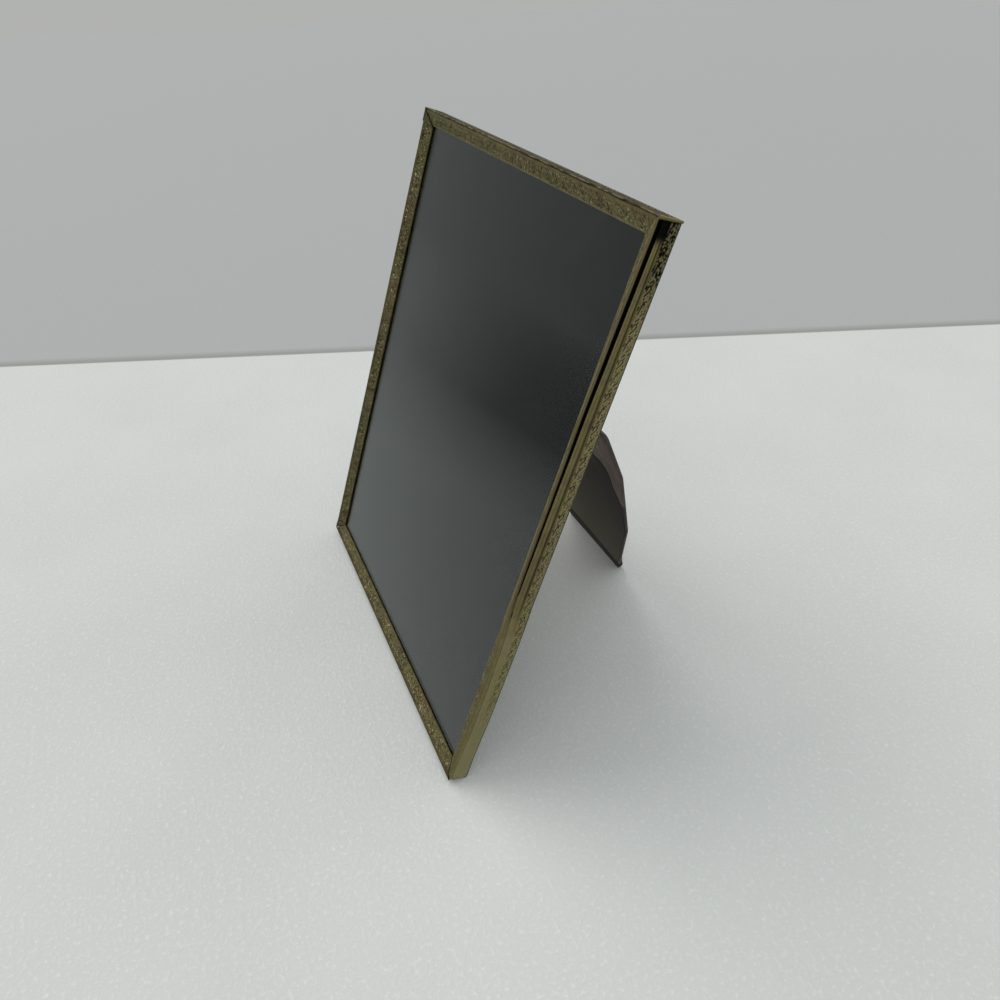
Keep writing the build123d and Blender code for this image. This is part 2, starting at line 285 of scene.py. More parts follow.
def note(piece, name, values):
    """Keep one number, or one vector, for each point of a piece under a name."""
    kind, field = ("FLOAT_VECTOR", "vector") if values.ndim == 3 else ("FLOAT", "value")
    attribute = piece.data.attributes.new(name, kind, "POINT")
    attribute.data.foreach_set(field, values.astype(np.float32).ravel())


# Materials

def put(node, key, value):
    """A node's input set to a plain value, or linked to another node's output."""
    if isinstance(value, bpy.types.NodeSocket):
        node.id_data.links.new(value, node.inputs[key])
    else:
        node.inputs[key].default_value = value


def adder(tree):
    """A helper that adds a shader node of a kind to a tree, with its options and its inputs."""
    def add(kind, inputs=None, **options):
        node = tree.nodes.new("ShaderNode" + kind)
        for key, value in options.items():
            setattr(node, key, value)
        for key, value in (inputs or {}).items():
            put(node, key, value)
        return node

    return add


def dress(principled, **settings):
    """Inputs of a principled shader, by their names in small letters."""
    for name, value in settings.items():
        put(principled, name.replace("_", " ").title().replace("Ior", "IOR"), value)


def shader(name, **settings):
    """A new material, its principled shader with settings, a helper that adds nodes, and the place
    on the object in metres."""
    material = bpy.data.materials.new(name)
    material.use_nodes = True
    principled = material.node_tree.nodes["Principled BSDF"]
    dress(principled, **settings)
    add = adder(material.node_tree)
    return material, principled, add, add("TexCoord").outputs["Object"]


def srgb(red, green, blue):
    """A colour written as it shows on a screen, 0 to 255, as the shader's own linear colour."""
    shown = np.array((red, green, blue)) / 255
    linear = np.where(shown <= 0.04045, shown / 12.92, ((shown + 0.055) / 1.055) ** 2.4)
    return (*linear.tolist(), 1.0)


def own_value(add, name, output="Fac"):
    """What a piece keeps for its points under a name."""
    return add("Attribute", attribute_name=name).outputs[output]


def noise(add, vector, scale, detail, roughness):
    """A noise pattern of a scale per metre."""
    inputs = {"Vector": vector, "Scale": scale, "Detail": detail, "Roughness": roughness}
    return add("TexNoise", inputs).outputs["Fac"]


def ramp(add, value, *stops):
    """A colour ramp through stops of place and colour."""
    node = add("ValToRGB", {"Fac": value})
    elements = node.color_ramp.elements
    while len(elements) < len(stops):
        elements.new(0.5)
    for element, (place, colour) in zip(elements, stops):
        element.position = place
        element.color = colour
    return node.outputs["Color"]


def level(add, value, low, high, least=0.0, most=1.0):
    """A value from low to high carried to least to most, held at both ends."""
    inputs = {"Value": value, "From Min": low, "From Max": high, "To Min": least, "To Max": most}
    return add("MapRange", inputs).outputs["Result"]


def mix(add, share, first, second):
    """Two colours mixed by a share."""
    return add("Mix", {0: share, 6: first, 7: second}, data_type="RGBA").outputs[2]


def sums(add, operation, first, second):
    """Arithmetic on two values."""
    return add("Math", {0: first, 1: second}, operation=operation).outputs[0]


def along_heading(add, place, heading):
    """How far a place lies along a level direction."""
    inputs = {0: place, 1: (*heading, 0.0)}
    return add("VectorMath", inputs, operation="DOT_PRODUCT").outputs["Value"]


def bump(add, height, strength, depth):
    """The surface's direction, bent by a height of a depth in metres."""
    inputs = {"Height": height, "Strength": strength, "Distance": depth}
    return add("Bump", inputs).outputs["Normal"]


def aged_brass():
    """Dark greenish brass: patina in the hollows and painted shade, paler rubbed edges and painted
    highlights, green and brown patches.
    """
    material, principled, add, place = shader("aged_brass", metallic=brass_metallic)
    stretch = add("Mapping", {"Vector": own_value(add, "strip", "Vector"), "Scale": (0.1, 1.7, 1.0)})
    patches = noise(add, place, 75, 3, 0.6)
    specks = noise(add, place, 1100, 5, 0.65)
    streaks = noise(add, stretch.outputs["Vector"], 1.0, 4, 0.6)
    dirt_and_shade = own_value(add, "dirt_and_shade")
    base = ramp(add, patches, (0.34, srgb(146, 120, 88)), (0.44, srgb(146, 133, 88)),
                (0.54, srgb(139, 132, 80)), (0.66, srgb(124, 125, 78)))
    base = mix(add, level(add, specks, 0.3, 0.72), srgb(110, 100, 62), base)
    base = mix(add, level(add, streaks, 0.56, 0.74, 0, 0.5), base, srgb(176, 168, 130))
    base = mix(add, level(add, streaks, 0.44, 0.3, 0, 0.35), base, srgb(92, 83, 50))
    base = mix(add, own_value(add, "tarnish"), base, srgb(106, 88, 66))
    # Dirt, patina and painted shade darken it; rubbed metal and painted highlights make it pale
    base = mix(add, dirt_and_shade, base, srgb(10, 8, 4))
    base = mix(add, own_value(add, "rub_and_highlight"), base, srgb(200, 190, 146))
    rough = sums(add, "ADD", level(add, specks, 0.3, 0.7, 0.4, 0.6), sums(add, "MULTIPLY", dirt_and_shade, 0.3))
    dress(principled, base_color=base, roughness=rough, normal=bump(add, specks, 0.4, 0.00015))
    return material


def plain_metal(name, colour, dark, roughness):
    """Sheet metal with faint patches, a fine grain and a soft uneven gloss."""
    material, principled, add, place = shader(name, metallic=brass_metallic)
    patches = noise(add, place, 140, 4, 0.6)
    specks = noise(add, place, 1400, 4, 0.6)
    dress(principled, base_color=mix(add, level(add, patches, 0.35, 0.7), dark, colour),
          roughness=level(add, specks, 0.3, 0.7, roughness - 0.08, roughness + 0.1),
          normal=bump(add, specks, 0.25, 0.0001))
    return material


def board_stuff(name, colour, dark, pale, specular=0.3):
    """Paper, card or covering: a fine grain with cloudy stains, darker worn edges and a dull surface."""
    material, principled, add, place = shader(name, specular_ior_level=specular)
    clouds = noise(add, place, 38, 4, 0.6)
    fine = noise(add, place, 1600, 4, 0.7)
    base = ramp(add, clouds, (0.36, dark), (0.5, colour), (0.66, pale))
    base = mix(add, level(add, fine, 0.42, 0.68, 0, 0.45), base, dark)
    base = mix(add, own_value(add, "faded"), base, pale)
    base = mix(add, own_value(add, "edge"), base, srgb(*worn_and_shaded_edge))
    dress(principled, base_color=base, roughness=level(add, clouds, 0.35, 0.65, 0.75, 0.93),
          normal=bump(add, fine, 0.5, 0.00012))
    return material


def leathercloth(name, colour, dark, pale):
    """Brown leathercloth: pebbles of about a millimetre pressed in, dark in their furrows, rubbed
    paler on their tops, with clouds of fading and a soft sheen."""
    material, principled, add, place = shader(name, specular_ior_level=0.4)
    bend = sums(add, "MULTIPLY", noise(add, place, 700, 2, 0.5), 0.0008)
    moved = add("VectorMath", {0: place, 1: bend}, operation="ADD").outputs[0]
    cells = add("TexVoronoi", {"Vector": moved, "Scale": 850.0}, feature="DISTANCE_TO_EDGE")
    cells = cells.outputs["Distance"]
    furrow = level(add, cells, 0.0, 0.22, 0.55, 0.0)
    clouds = noise(add, place, 26, 5, 0.62)
    scuffs = noise(add, place, 210, 5, 0.7)
    base = ramp(add, clouds, (0.34, dark), (0.5, colour), (0.68, pale))
    base = mix(add, level(add, scuffs, 0.56, 0.74, 0, 0.4), base, pale)
    base = mix(add, furrow, base, dark)
    # Darker edges: wear, and painted shade on the leg cover's rounded edge
    base = mix(add, own_value(add, "edge"), base, srgb(*worn_and_shaded_edge))
    dress(principled, base_color=base, roughness=level(add, scuffs, 0.4, 0.7, 0.62, 0.48),
          normal=bump(add, level(add, cells, 0.0, 0.3), 0.55, 0.00012))
    return material


def picture_glass():
    """Clear picture glass, with greasy smears near its top right corner."""
    material, principled, add, place = shader("picture_glass", base_color=(0.94, 0.98, 0.97, 1.0),
                                              ior=1.5, roughness=0.0)
    apart = add("SeparateXYZ", {"Vector": place}).outputs
    smear = add("Mapping", {"Vector": place, "Scale": (90.0, 60.0, 34.0),
                            "Rotation": (0.0, 0.5, 0.0)}).outputs["Vector"]
    streak = level(add, noise(add, smear, 1.0, 5, 0.62), 0.5, 0.72)
    near = sums(add, "MULTIPLY", level(add, apart["X"], 0.02, 0.085), level(add, apart["Z"], 0.17, 0.225))
    greasy = sums(add, "MULTIPLY", streak, near)
    dress(principled, transmission_weight=level(add, greasy, 0.0, 1.0, 1.0, 0.993))
    return material


# Moulding

def straight(start, end, count):
    """Points from start towards end, the end left to the next run."""
    share = np.arange(count)[:, None] / count
    return np.array(start) + share * (np.array(end) - np.array(start))


def swell(start, end, bulge, count):
    """Half an ellipse from start to end that stands off the straight line by bulge, to its left."""
    share = np.arange(count) / count
    run = np.array(end) - np.array(start)
    side = np.array((-run[1], run[0])) / np.hypot(*run)
    turn = np.pi * share
    along = (1 - np.cos(turn)) / 2
    return np.array(start) + along[:, None] * run + (np.sin(turn) * bulge)[:, None] * side


def outline():
    """The moulding's closed section, inward and forward, and the name of each point's run."""
    inner = lambda inward: sight_level + (face_width - inward) * face_fall - sheet * np.hypot(1, face_fall)
    slot_back = slot_depth + sheet
    lip_back = face_width - lip_return
    lip_start = face_width - lip_height / 2
    lip_top = sight_level + lip_height / 2 * face_fall
    web = groove_depth + sheet
    runs = {
        "flange": straight((flange_width, 0), (rear_radius, 0), 4),
        "corner": swell((rear_radius, 0), (0, rear_radius), rear_radius * 0.3, 4),
        "scroll": straight((0, rear_radius), (0, groove_bottom), 24),
        "groove": swell((0, groove_bottom), (bead_inset, bead_bottom), -groove_depth * 0.7, 8),
        "low_bead": swell((bead_inset, bead_bottom), (bead_inset, bead_middle), bead_inset, 7),
        "high_bead": swell((bead_inset, bead_middle), (bead_inset, slot_bottom), bead_inset, 7),
        "slot_low": straight((bead_inset, slot_bottom), (slot_depth, slot_bottom), 3),
        "slot_floor": straight((slot_depth, slot_bottom), (slot_depth, slot_top), 3),
        "slot_high": straight((slot_depth, slot_top), (hem / 2, slot_top), 3),
        "hem": swell((hem / 2, slot_top), (hem / 2, frame_depth), hem / 2, 9),
        "smooth": straight((hem / 2, frame_depth), (smooth_width, frame_depth - smooth_drop), 6),
        "band": straight((smooth_width, frame_depth - smooth_drop), (lip_start, lip_top), 24),
        "lip": swell((lip_start, lip_top), (lip_start, lip_level), lip_height / 2, 6),
        "lip_under": straight((lip_start, lip_level), (lip_back, lip_level), 2),
        "inner": np.array([(lip_back, inner(lip_back)), (slot_back, inner(slot_back)),
                           (slot_back, slot_bottom - sheet), (web, slot_bottom - sheet),
                           (web, groove_bottom), (sheet, groove_bottom - sheet), (sheet, sheet),
                           (flange_width, sheet)]),
    }
    names = np.concatenate([[name] * len(points) for name, points in runs.items()])
    return np.concatenate(list(runs.values())), names


def outward(points):
    """Directions square to a closed outline at its points, away from the metal."""
    run = np.roll(points, -1, axis=0) - np.roll(points, 1, axis=0)
    side = np.stack((-run[:, 1], run[:, 0]), axis=-1)
    return side / np.linalg.norm(side, axis=-1, keepdims=True)


# One repeat of the running scroll on the side wall: strokes through points given as shares of
# the pitch along and of the band across, from its rear edge
scroll_shares = [
    [(-0.04, 0.38), (-0.02, 0.58), (0.13, 0.69), (0.32, 0.79)],
    [(0.03, 0.50), (0.05, 0.52)], [(0.26, 0.20), (0.295, 0.36), (0.35, 0.46)],
    [(0.435, 0.50), (0.51, 0.70)],
    [(0.52, 0.43), (0.59, 0.51), (0.65, 0.42), (0.72, 0.505), (0.79, 0.67), (0.855, 0.80)],
    [(0.575, 0.63), (0.64, 0.765), (0.725, 0.79)], [(0.92, 0.75), (0.945, 0.735)],
    [(0.19, 0.25), (0.20, 0.26)], [(0.75, 0.30), (0.765, 0.31)], [(0.22, 0.49), (0.235, 0.50)],
    [(0.13, 0.88), (0.21, 0.92)], [(0.60, 0.90), (0.67, 0.94)], [(0.38, 0.14), (0.43, 0.22)],
    [(0.84, 0.18), (0.88, 0.28)],
]

# One repeat of the leaf band on the face, from its outer edge to the sight edge: the dark spots
# of two flowers, and the veins of the leaves between them
spot_shares = [
    [(0.03, 0.40), (0.06, 0.50)], [(0.12, 0.30), (0.14, 0.40)], [(0.10, 0.58), (0.13, 0.70)],
    [(0.20, 0.44), (0.22, 0.56)], [(0.02, 0.68), (0.04, 0.74)], [(0.19, 0.74), (0.22, 0.80)],
    [(0.25, 0.26), (0.28, 0.33)], [(0.53, 0.34), (0.55, 0.46)], [(0.60, 0.52), (0.62, 0.62)],
    [(0.66, 0.36), (0.68, 0.42)], [(0.54, 0.70), (0.56, 0.78)],
]
vein_shares = [[(start, 0.28), (start + 0.035, 0.55), (start + 0.04, 0.82)]
               for start in (0.30, 0.37, 0.44, 0.72, 0.79, 0.86, 0.93)]

# Raised spots of the leaf band that catch the light, as shares in the same way
boss_shares = [[(0.08, 0.46), (0.09, 0.52)], [(0.16, 0.62), (0.17, 0.68)], [(0.34, 0.62), (0.36, 0.74)],
               [(0.47, 0.84), (0.49, 0.88)], [(0.58, 0.44), (0.59, 0.50)], [(0.76, 0.70), (0.78, 0.80)],
               [(0.89, 0.54), (0.91, 0.64)]]


def strokes(along, across, height, shares, width, draws, faintest=0.75):
    """How much of a repeated set of strokes is at each point, and how much of the lip raised beside
    them, from 0 to 1. The distance to the nearest stroke, in half stroke widths, is taken from a
    little over one and smoothed; the lip is a bell curve just outside. Each repeat is moved, and
    each stroke made stronger or weaker, by draws."""
    depth = np.zeros(np.broadcast(along, across).shape)
    lip = np.zeros(depth.shape)
    for repeat in range(int(along.min() // pitch) - 1, int(along.max() // pitch) + 2):
        shift_along, shift_across = draws.normal(0, (0.16, 0.08))
        strengths = draws.uniform(faintest, 1.0, len(shares))
        near = np.abs(along[:, 0] - (repeat + 0.5) * pitch) < 0.8 * pitch
        if not near.any():
            continue
        here = along[near] - repeat * pitch - shift_along
        there = np.broadcast_to(across, along.shape)[near] - shift_across
        for stroke, strength in zip(shares, strengths):
            line = np.array(stroke) * (pitch, height)
            gap = np.full(here.shape, np.inf)
            for start, end in zip(line[:-1], line[1:]):
                run = end - start
                share = ((here - start[0]) * run[0] + (there - start[1]) * run[1]) / (run @ run)
                share = np.clip(share, 0, 1)
                beside = np.hypot(here - start[0] - share * run[0], there - start[1] - share * run[1])
                gap = np.minimum(gap, beside)
            cut = np.clip(1.6 - gap / (width / 2), 0, 1)
            depth[near] = np.maximum(depth[near], strength * cut * cut * (3 - 2 * cut))
            lip[near] = np.maximum(lip[near], strength * bell(gap, 1.1 * width, 0.35 * width))
    return depth, lip * (1 - depth)


def mottle(along, around, size, draws):
    """Smooth random hills of a size, 0 to 1: a grid of random heights, eased from one to the next."""
    rows = int(np.ptp(along) / size) + 3
    columns = int(np.ptp(around) / size) + 3
    heights = draws.random((rows, columns))
    u = (along - along.min()) / size
    v = np.broadcast_to((around - around.min()) / size, u.shape)
    row, column = u.astype(int), v.astype(int)
    u, v = u - row, v - column
    u, v = u * u * (3 - 2 * u), v * v * (3 - 2 * v)
    near = heights[row, column] * (1 - v) + heights[row, column + 1] * v
    far = heights[row + 1, column] * (1 - v) + heights[row + 1, column + 1] * v
    return near * (1 - u) + far * u


def fade(value, start, end):
    """A smooth step from 0 at start to 1 at end."""
    share = np.clip((value - start) / (end - start), 0, 1)
    return share * share * (3 - 2 * share)


def bell(value, middle, width):
    """A bell curve that is 1 at the middle."""
    return np.exp(-((value - middle) / width) ** 2)


def pressed_scroll(along, counted, forward, left, harsh, draws):
    """The scroll on the side wall: how deep it is cut, how high its lips stand, and the speckles of
    dirt. Left is how much of the strokes is left, and harsh how far the speckles join them."""
    cut, lip = strokes(counted, forward - rear_radius, groove_bottom - rear_radius, scroll_shares,
                       stroke_width, draws)
    cut *= 0.75 + 0.4 * mottle(along, forward, 1.7, draws)
    flecks = mottle(along, forward, 0.5, draws)
    cut = left * np.maximum(cut, 0.26 * fade(flecks, 0.68, 0.86))
    speckle = mottle(along, forward, 0.55, draws)
    return np.maximum(cut, 0.95 * harsh * fade(speckle, 0.56, 0.72)), lip * left, speckle


def pressed_leaves(along, counted, across, face_shade, draws):
    """The leaf band on the face: how deep its spots, veins and dots are, the lips beside them, its
    bosses, its glints and its grit. The spots are the fainter the more painted shade the face has."""
    depth = face_width - smooth_width
    spots, spot_lip = strokes(counted, across, depth, spot_shares, stroke_width * 1.25, draws, 0.5)
    veins, vein_lip = strokes(counted, across, depth, vein_shares, stroke_width * 0.8, draws, 0.3)
    rubbed_off = 0.35 + 0.75 * fade(mottle(along, across, 1.5, draws), 0.2, 0.6)
    dots = mottle(along, across, 0.55, draws)
    leaf = np.maximum(spots * (0.95 - 1.6 * face_shade), 0.4 * veins) * rubbed_off
    leaf = np.maximum(leaf, 0.6 * fade(dots, 0.66, 0.82))
    boss = strokes(counted, across, depth, boss_shares, stroke_width, draws, 0.2)[0]
    boss *= fade(mottle(along, across, 2.3, draws), 0.3, 0.8)
    return leaf, spot_lip + vein_lip, boss, fade(1 - dots, 0.8, 0.92), mottle(along, across, 0.7, draws)


def moulding(name, corner, along_way, inward_way, length, node, start, gaps, shade, worn=False, cut_top=0.0,
             bulge=0.0):
    """One length of the moulding: its section carried from one mitre to the other. A point at a
    distance inward starts and ends that much later and sooner, which makes the mitres, each with
    its own open gap. The ornament is pressed in, square to the section, and its repeats are counted
    down from start. Shade is how much painted shade darkens the wall and the face, bulge how far the
    wall stands out near the corner, and worn is for the right stile, with its flattened foot, bent
    front edge, open slot, and dirty top with painted shadow under the top rail's overhang."""
    draws = np.random.default_rng(sum(map(ord, name)))
    section, runs = outline()
    square = outward(section)
    inward, forward = section[:, 0], section[:, 1]
    around = np.concatenate(([0], np.cumsum(np.hypot(*np.diff(section, axis=0).T))))
    rows = int(length / along_step)
    share = np.linspace(0, 1, rows)[:, None]
    blunt = end_rounding * (np.abs(forward / frame_depth - 0.5) * 2) ** 3 * (inward < flange_width) * worn
    first = np.maximum(inward, 0) + gaps[0] / 2 + blunt
    last = length - np.maximum(np.maximum(inward, 0) + gaps[1] / 2, cut_top)
    along = first + (last - first) * share
    x, z = (np.broadcast_to(each, along.shape).copy() for each in (inward, forward))
    run = {part: runs == part for part in dict.fromkeys(runs)}
    scroll, groove, hem_run, smooth, band = [run[part] for part in
                                             ("scroll", "groove", "hem", "smooth", "band")]

    # How much of the ornament, the beads and the slot is left along this length
    plain = 1 - fade(along, *worn_end) if worn else np.zeros(along.shape)
    sound = 1 - plain
    width = np.full(along.shape, slot_gap)
    if worn:
        width = np.interp(along, *np.array(slot_widths).T) + notch_width * bell(along, notch_up, 1.5)

    # Ornament
    counted = start - along
    left = 1 - plain[:, scroll] * fade(forward[scroll], 3.5, 4.6)
    left = left * (fade(along[:, scroll], *scroll_end) if worn else 1)
    harsh = fade(along[:, scroll] - length, -speckled[0], -speckled[1]) * worn
    cut, lip, speckle = pressed_scroll(along[:, scroll], counted[:, scroll], forward[scroll], left,
                                       harsh, draws)
    leaf, raised, boss, glints, grit = pressed_leaves(along[:, band], counted[:, band],
                                                      inward[band] - smooth_width, shade[1], draws)
    push = np.zeros(along.shape)
    push[:, scroll] = -stroke_depth * cut + scroll_lip * lip
    push[:, band] = -stroke_depth * leaf + boss_height * boss + leaf_lip * raised - grit_depth * grit
    crease = bell(inward[smooth], crease_inset, crease_width) * sound[:, smooth]
    push[:, smooth] -= crease_depth * crease

    # The slot is as wide as its table says: the beads and the hem share what it gains or loses
    spare = (slot_gap - width) / 2
    lower = run["slot_low"] | (run["slot_floor"] & (forward < slot_bottom + slot_gap / 2))
    upper = run["slot_high"] | (run["slot_floor"] & ~lower)
    z[:, lower] += spare[:, lower]
    z[:, upper] -= spare[:, upper]
    z[:, hem_run] -= spare[:, hem_run] * np.clip((frame_depth - forward[hem_run]) / hem, 0, 1)
    beads = run["low_bead"] | run["high_bead"]
    z[:, beads] += spare[:, beads] * np.clip((forward[beads] - bead_bottom) / (2 * bead_height), 0, 1)
    deep = (lower | upper) & (inward > hem / 2 + 0.01)
    depth_left = np.clip(width / 0.6, 0.04, 1)
    x[:, deep] = hem / 2 + (x[:, deep] - hem / 2) * depth_left[:, deep]
    hollow = groove | beads
    x[:, hollow] *= 1 - 0.9 * plain[:, hollow]

    # Pressed ornament, uneven metal, and the worn end where face and wall run into one round
    x += push * square[:, 0]
    z += push * square[:, 1]
    outer = np.isin(runs, ("scroll", "groove", "low_bead", "high_bead", "hem", "smooth"))
    x[:, outer] += 0.05 * (mottle(along[:, outer], around[outer], 7.0, draws) - 0.2)
    over = frame_depth - wall_rounding
    away = np.hypot(x - wall_rounding, z - over)
    pull = plain * outer * ((x < wall_rounding) & (z > over) & (away > wall_rounding))
    scale = 1 - pull * (1 - wall_rounding / np.maximum(away, wall_rounding))
    x = np.maximum(wall_rounding + (x - wall_rounding) * scale, 0)
    z = np.maximum(over + (z - over) * scale, 0)
    if worn:
        bowed = np.interp(along, *np.array(front_bow).T)
        forwards = np.clip((forward - groove_bottom) / (slot_bottom - groove_bottom), 0, 1)
        inwards = np.clip((inward - smooth_width) / (face_width - smooth_width), 0, 1)
        z += bowed * forwards * (1 - inwards)
        splayed = fade(along, *splay_up) * (1 - fade(along, *splay_down))
        x -= wall_splay * splayed * (1 - np.clip(inward / smooth_width, 0, 1))
    bent = bell(along, 2.5, 3.0) * (inward < 4)
    x -= bulge * bent * fade(forward, 0.5, 4.0)

    # Dirt in what is sunk, painted shade in the open slot, a darker rear rim, and dark mitre joints
    dirt_and_shade = np.zeros(along.shape)
    dirt_and_shade[:, scroll] = np.minimum(0.92 * cut + 0.45 * harsh, 1)
    dirt_and_shade[:, band] = leaf
    broken = mottle(along[:, smooth], inward[smooth], 3.0, draws)
    dirt_and_shade[:, smooth] = 0.75 * crease * fade(broken, 0.25, 0.7)
    # Painted shade in the open slot: its walls darken as it opens
    dirt_and_shade[:, lower | upper] = fade(width, 0, 0.3)[:, lower | upper]
    ditch = bell(forward[groove], groove_bottom + 0.45 * groove_height, 0.26)
    dirt_and_shade[:, groove] = 0.8 * ditch * sound[:, groove]
    dirt_and_shade[:, beads] = 0.22 * bell(forward[beads], bead_middle, 0.12) * sound[:, beads]
    rear_rim = scroll & (forward < rear_radius + 0.25)
    dirt_and_shade[:, rear_rim | run["corner"]] = 0.7
    if worn:
        # Dirt with painted shadow under the top rail's overhang blackens the right stile's top
        top_dirt_and_shadow = fade(along - length, -top_dirt_and_shadow_reach[0], -top_dirt_and_shadow_reach[1]) * (hollow | (scroll & (forward > 4.0)))
        dirt_and_shade = np.maximum(dirt_and_shade, top_dirt_and_shadow)
    for distance, gap in ((along - first, gaps[0]), (last - along, gaps[1])):
        soiled = np.minimum(gap / 0.16, 1) * bell(distance, 0, 0.3 + 1.3 * gap)
        dirt_and_shade = np.maximum(dirt_and_shade, 0.95 * soiled * (inward > 0.3))

    # Metal rubbed bright on what stands out, with painted highlights; painted shade on the hem and over
    # each length; and brown where it has tarnished
    rub_and_highlight = np.zeros(along.shape)
    # The hem's crest is rubbed bright and painted as a broken highlight line; the rest of the hem gets
    # painted shade
    crest = bell(forward[hem_run], frame_depth - 0.04, 0.1)
    bright = fade(mottle(along[:, hem_run], 0 * forward[hem_run], 2.4, draws), 0.3, 0.75)
    rub_and_highlight[:, hem_run] = crest * (0.02 + 0.42 * bright) * (0.35 if worn else 1)
    dirt_and_shade[:, hem_run] = 0.4 * (1 - crest) * sound[:, hem_run]
    if worn:
        # Painted highlight with rub along a ridge of the right stile's smooth strip
        ridge = bell(inward[smooth], 1.5, 0.16)
        rub_and_highlight[:, smooth] = 0.6 * ridge * fade(broken, 0.2, 0.6) * sound[:, smooth]
    # Painted highlights on the leaf band: its glints, its bosses and the lips beside its spots and veins
    rub_and_highlight[:, band] = np.maximum(np.maximum(0.5 * boss, 0.9 * glints), 0.22 * raised)
    # Painted highlights on the scroll's lips, a little rub on the right stile's scroll, and painted glints
    # among the dark speckles of its top
    rub_and_highlight[:, scroll] = np.maximum(0.3 * lip + 0.16 * left * worn,
                                0.5 * harsh * fade(1 - speckle, 0.62, 0.78) * (1 - cut))
    rub_and_highlight[:, beads] = 0.07 * sound[:, beads]
    # Painted highlight along the sight edge, scalloped and broken, weaker where the face has more painted
    # shade
    edge = run["lip"] | (band & (inward > face_width - 0.75))
    scallop = 0.5 + 0.5 * np.cos(2 * np.pi * counted[:, edge] / (pitch / 6))
    scallop *= mottle(along[:, edge], 0 * inward[edge], 2.1, draws)
    rub_and_highlight[:, edge] = np.maximum(rub_and_highlight[:, edge], (0.12 + 0.4 * scallop) * (1 - min(2.5 * shade[1], 1)))
    rub_and_highlight[:, outer] = np.maximum(rub_and_highlight[:, outer], 0.3 * plain[:, outer] * (forward[outer] < frame_depth - 0.4))
    rub_and_highlight *= 1 - dirt_and_shade
    # Painted shade over each length: on the outer wall by the first value of shade, elsewhere by the
    # second, made uneven
    side_shade = np.where(outer & (inward < 0.7), *shade)
    dirt_and_shade = 1 - (1 - dirt_and_shade) * (1 - side_shade * (0.7 + 0.6 * mottle(along, around, 4.0, draws)))
    tarnish = 0.45 * fade(mottle(along, around, 4.0, draws), 0.5, 0.85)
    if worn:
        tarnish[:, hem_run] = 0.5 * sound[:, hem_run]
        tarnish[:, smooth] = 0.35 * fade(1.1 - inward[smooth], 0, 0.5) * sound[:, smooth]
    if bulge:
        tarnish = np.maximum(tarnish, 0.8 * bell(along, 4, 8))

    points = corner + along[..., None] * along_way + x[..., None] * inward_way + z[..., None] * face.front
    points = np.clip(points, *(np.array(cad_box) * METRE))
    piece = make_piece(name, points, brass, "frame", "brass_moulding", node)
    for finish, values in (("dirt_and_shade", dirt_and_shade), ("rub_and_highlight", rub_and_highlight), ("tarnish", tarnish)):
        note(piece, finish, np.clip(values, 0, 1))
    note(piece, "strip", np.stack((along, np.broadcast_to(around, along.shape), 0 * along), axis=-1))


def mouldings():
    """The four lengths of moulding, each from its own corner and with its own start of the repeats."""
    corner = lambda right, up: face.at(right, up, 0)
    right, up = face.right, face.up
    width = 2 * half_width
    cut_top = sheet + end_space
    moulding("bottom_moulding", corner(half_width, 0), -right, up, width, "bottom_rail", width - 3,
             (low_right_gap, low_left_gap), bottom_shade)
    moulding("top_moulding", corner(half_width, frame_height), -right, -up, width, "top_rail", width - 6,
             (top_right_gap, top_left_gap), top_shade)
    moulding("left_moulding", corner(-half_width, 0), up, right, frame_height, "left_stile",
             scroll_start - 5, (low_left_gap, top_left_gap), left_shade, cut_top=cut_top,
             bulge=foot_bulge)
    moulding("right_moulding", corner(half_width, 0), up, -right, frame_height, "right_stile",
             scroll_start, (low_right_gap, top_right_gap), right_shade, worn=True, cut_top=cut_top)


def tongues():
    """The wall of the top rail runs over the end of each stile and is turned down there: a folded
    strip, its section in the plane of the face carried from the rear to the front. It is turned down
    by the first drop at the rear and by the second at the front."""
    for name, way, overhang, drops in (("top_right_tongue", 1, 0.45, (0.7, 1.1)),
                                       ("top_left_tongue", -1, 0.9, (5.6, 6.4))):
        rows, bend = 24, 0.25
        front = np.linspace(0, frame_depth, rows)[:, None]
        drop = np.linspace(*drops, rows)[:, None]
        root, outer = half_width - sheet - 0.16, half_width + overhang
        inner = outer - min(sheet, overhang - 0.05)
        corner_round = [(outer - bend * (1 - sin(turn)), bend * (1 - cos(turn)))
                        for turn in np.linspace(0, np.pi / 2, 6)]
        section = [(root, 0), *corner_round, (outer, 0.7), (outer, 0.8), (outer - 0.1, 0.9),
                   (inner + 0.1, 0.9), (inner, 0.8), (inner, 0.7), (inner, sheet), (root, sheet)]
        right, down = np.array(section).T
        right, up = np.broadcast_to(right, (rows, len(right))), frame_height - down
        turned = np.clip((frame_height - sheet - up) / 0.4, 0, 1)
        up = up - turned * (drop - 0.8)
        points = face.at(way * right, up, front)
        piece = make_piece(name, points, brass, "frame", "brass_moulding", "top_rail")
        note(piece, "dirt_and_shade", 0.35 * np.broadcast_to(turned, up.shape))
        note(piece, "rub_and_highlight", 0.08 * np.broadcast_to(1 - turned, up.shape))
        note(piece, "strip", np.stack((front + 0 * up, up, 0 * up), axis=-1))


# Black sheet, easel leg and turn buttons

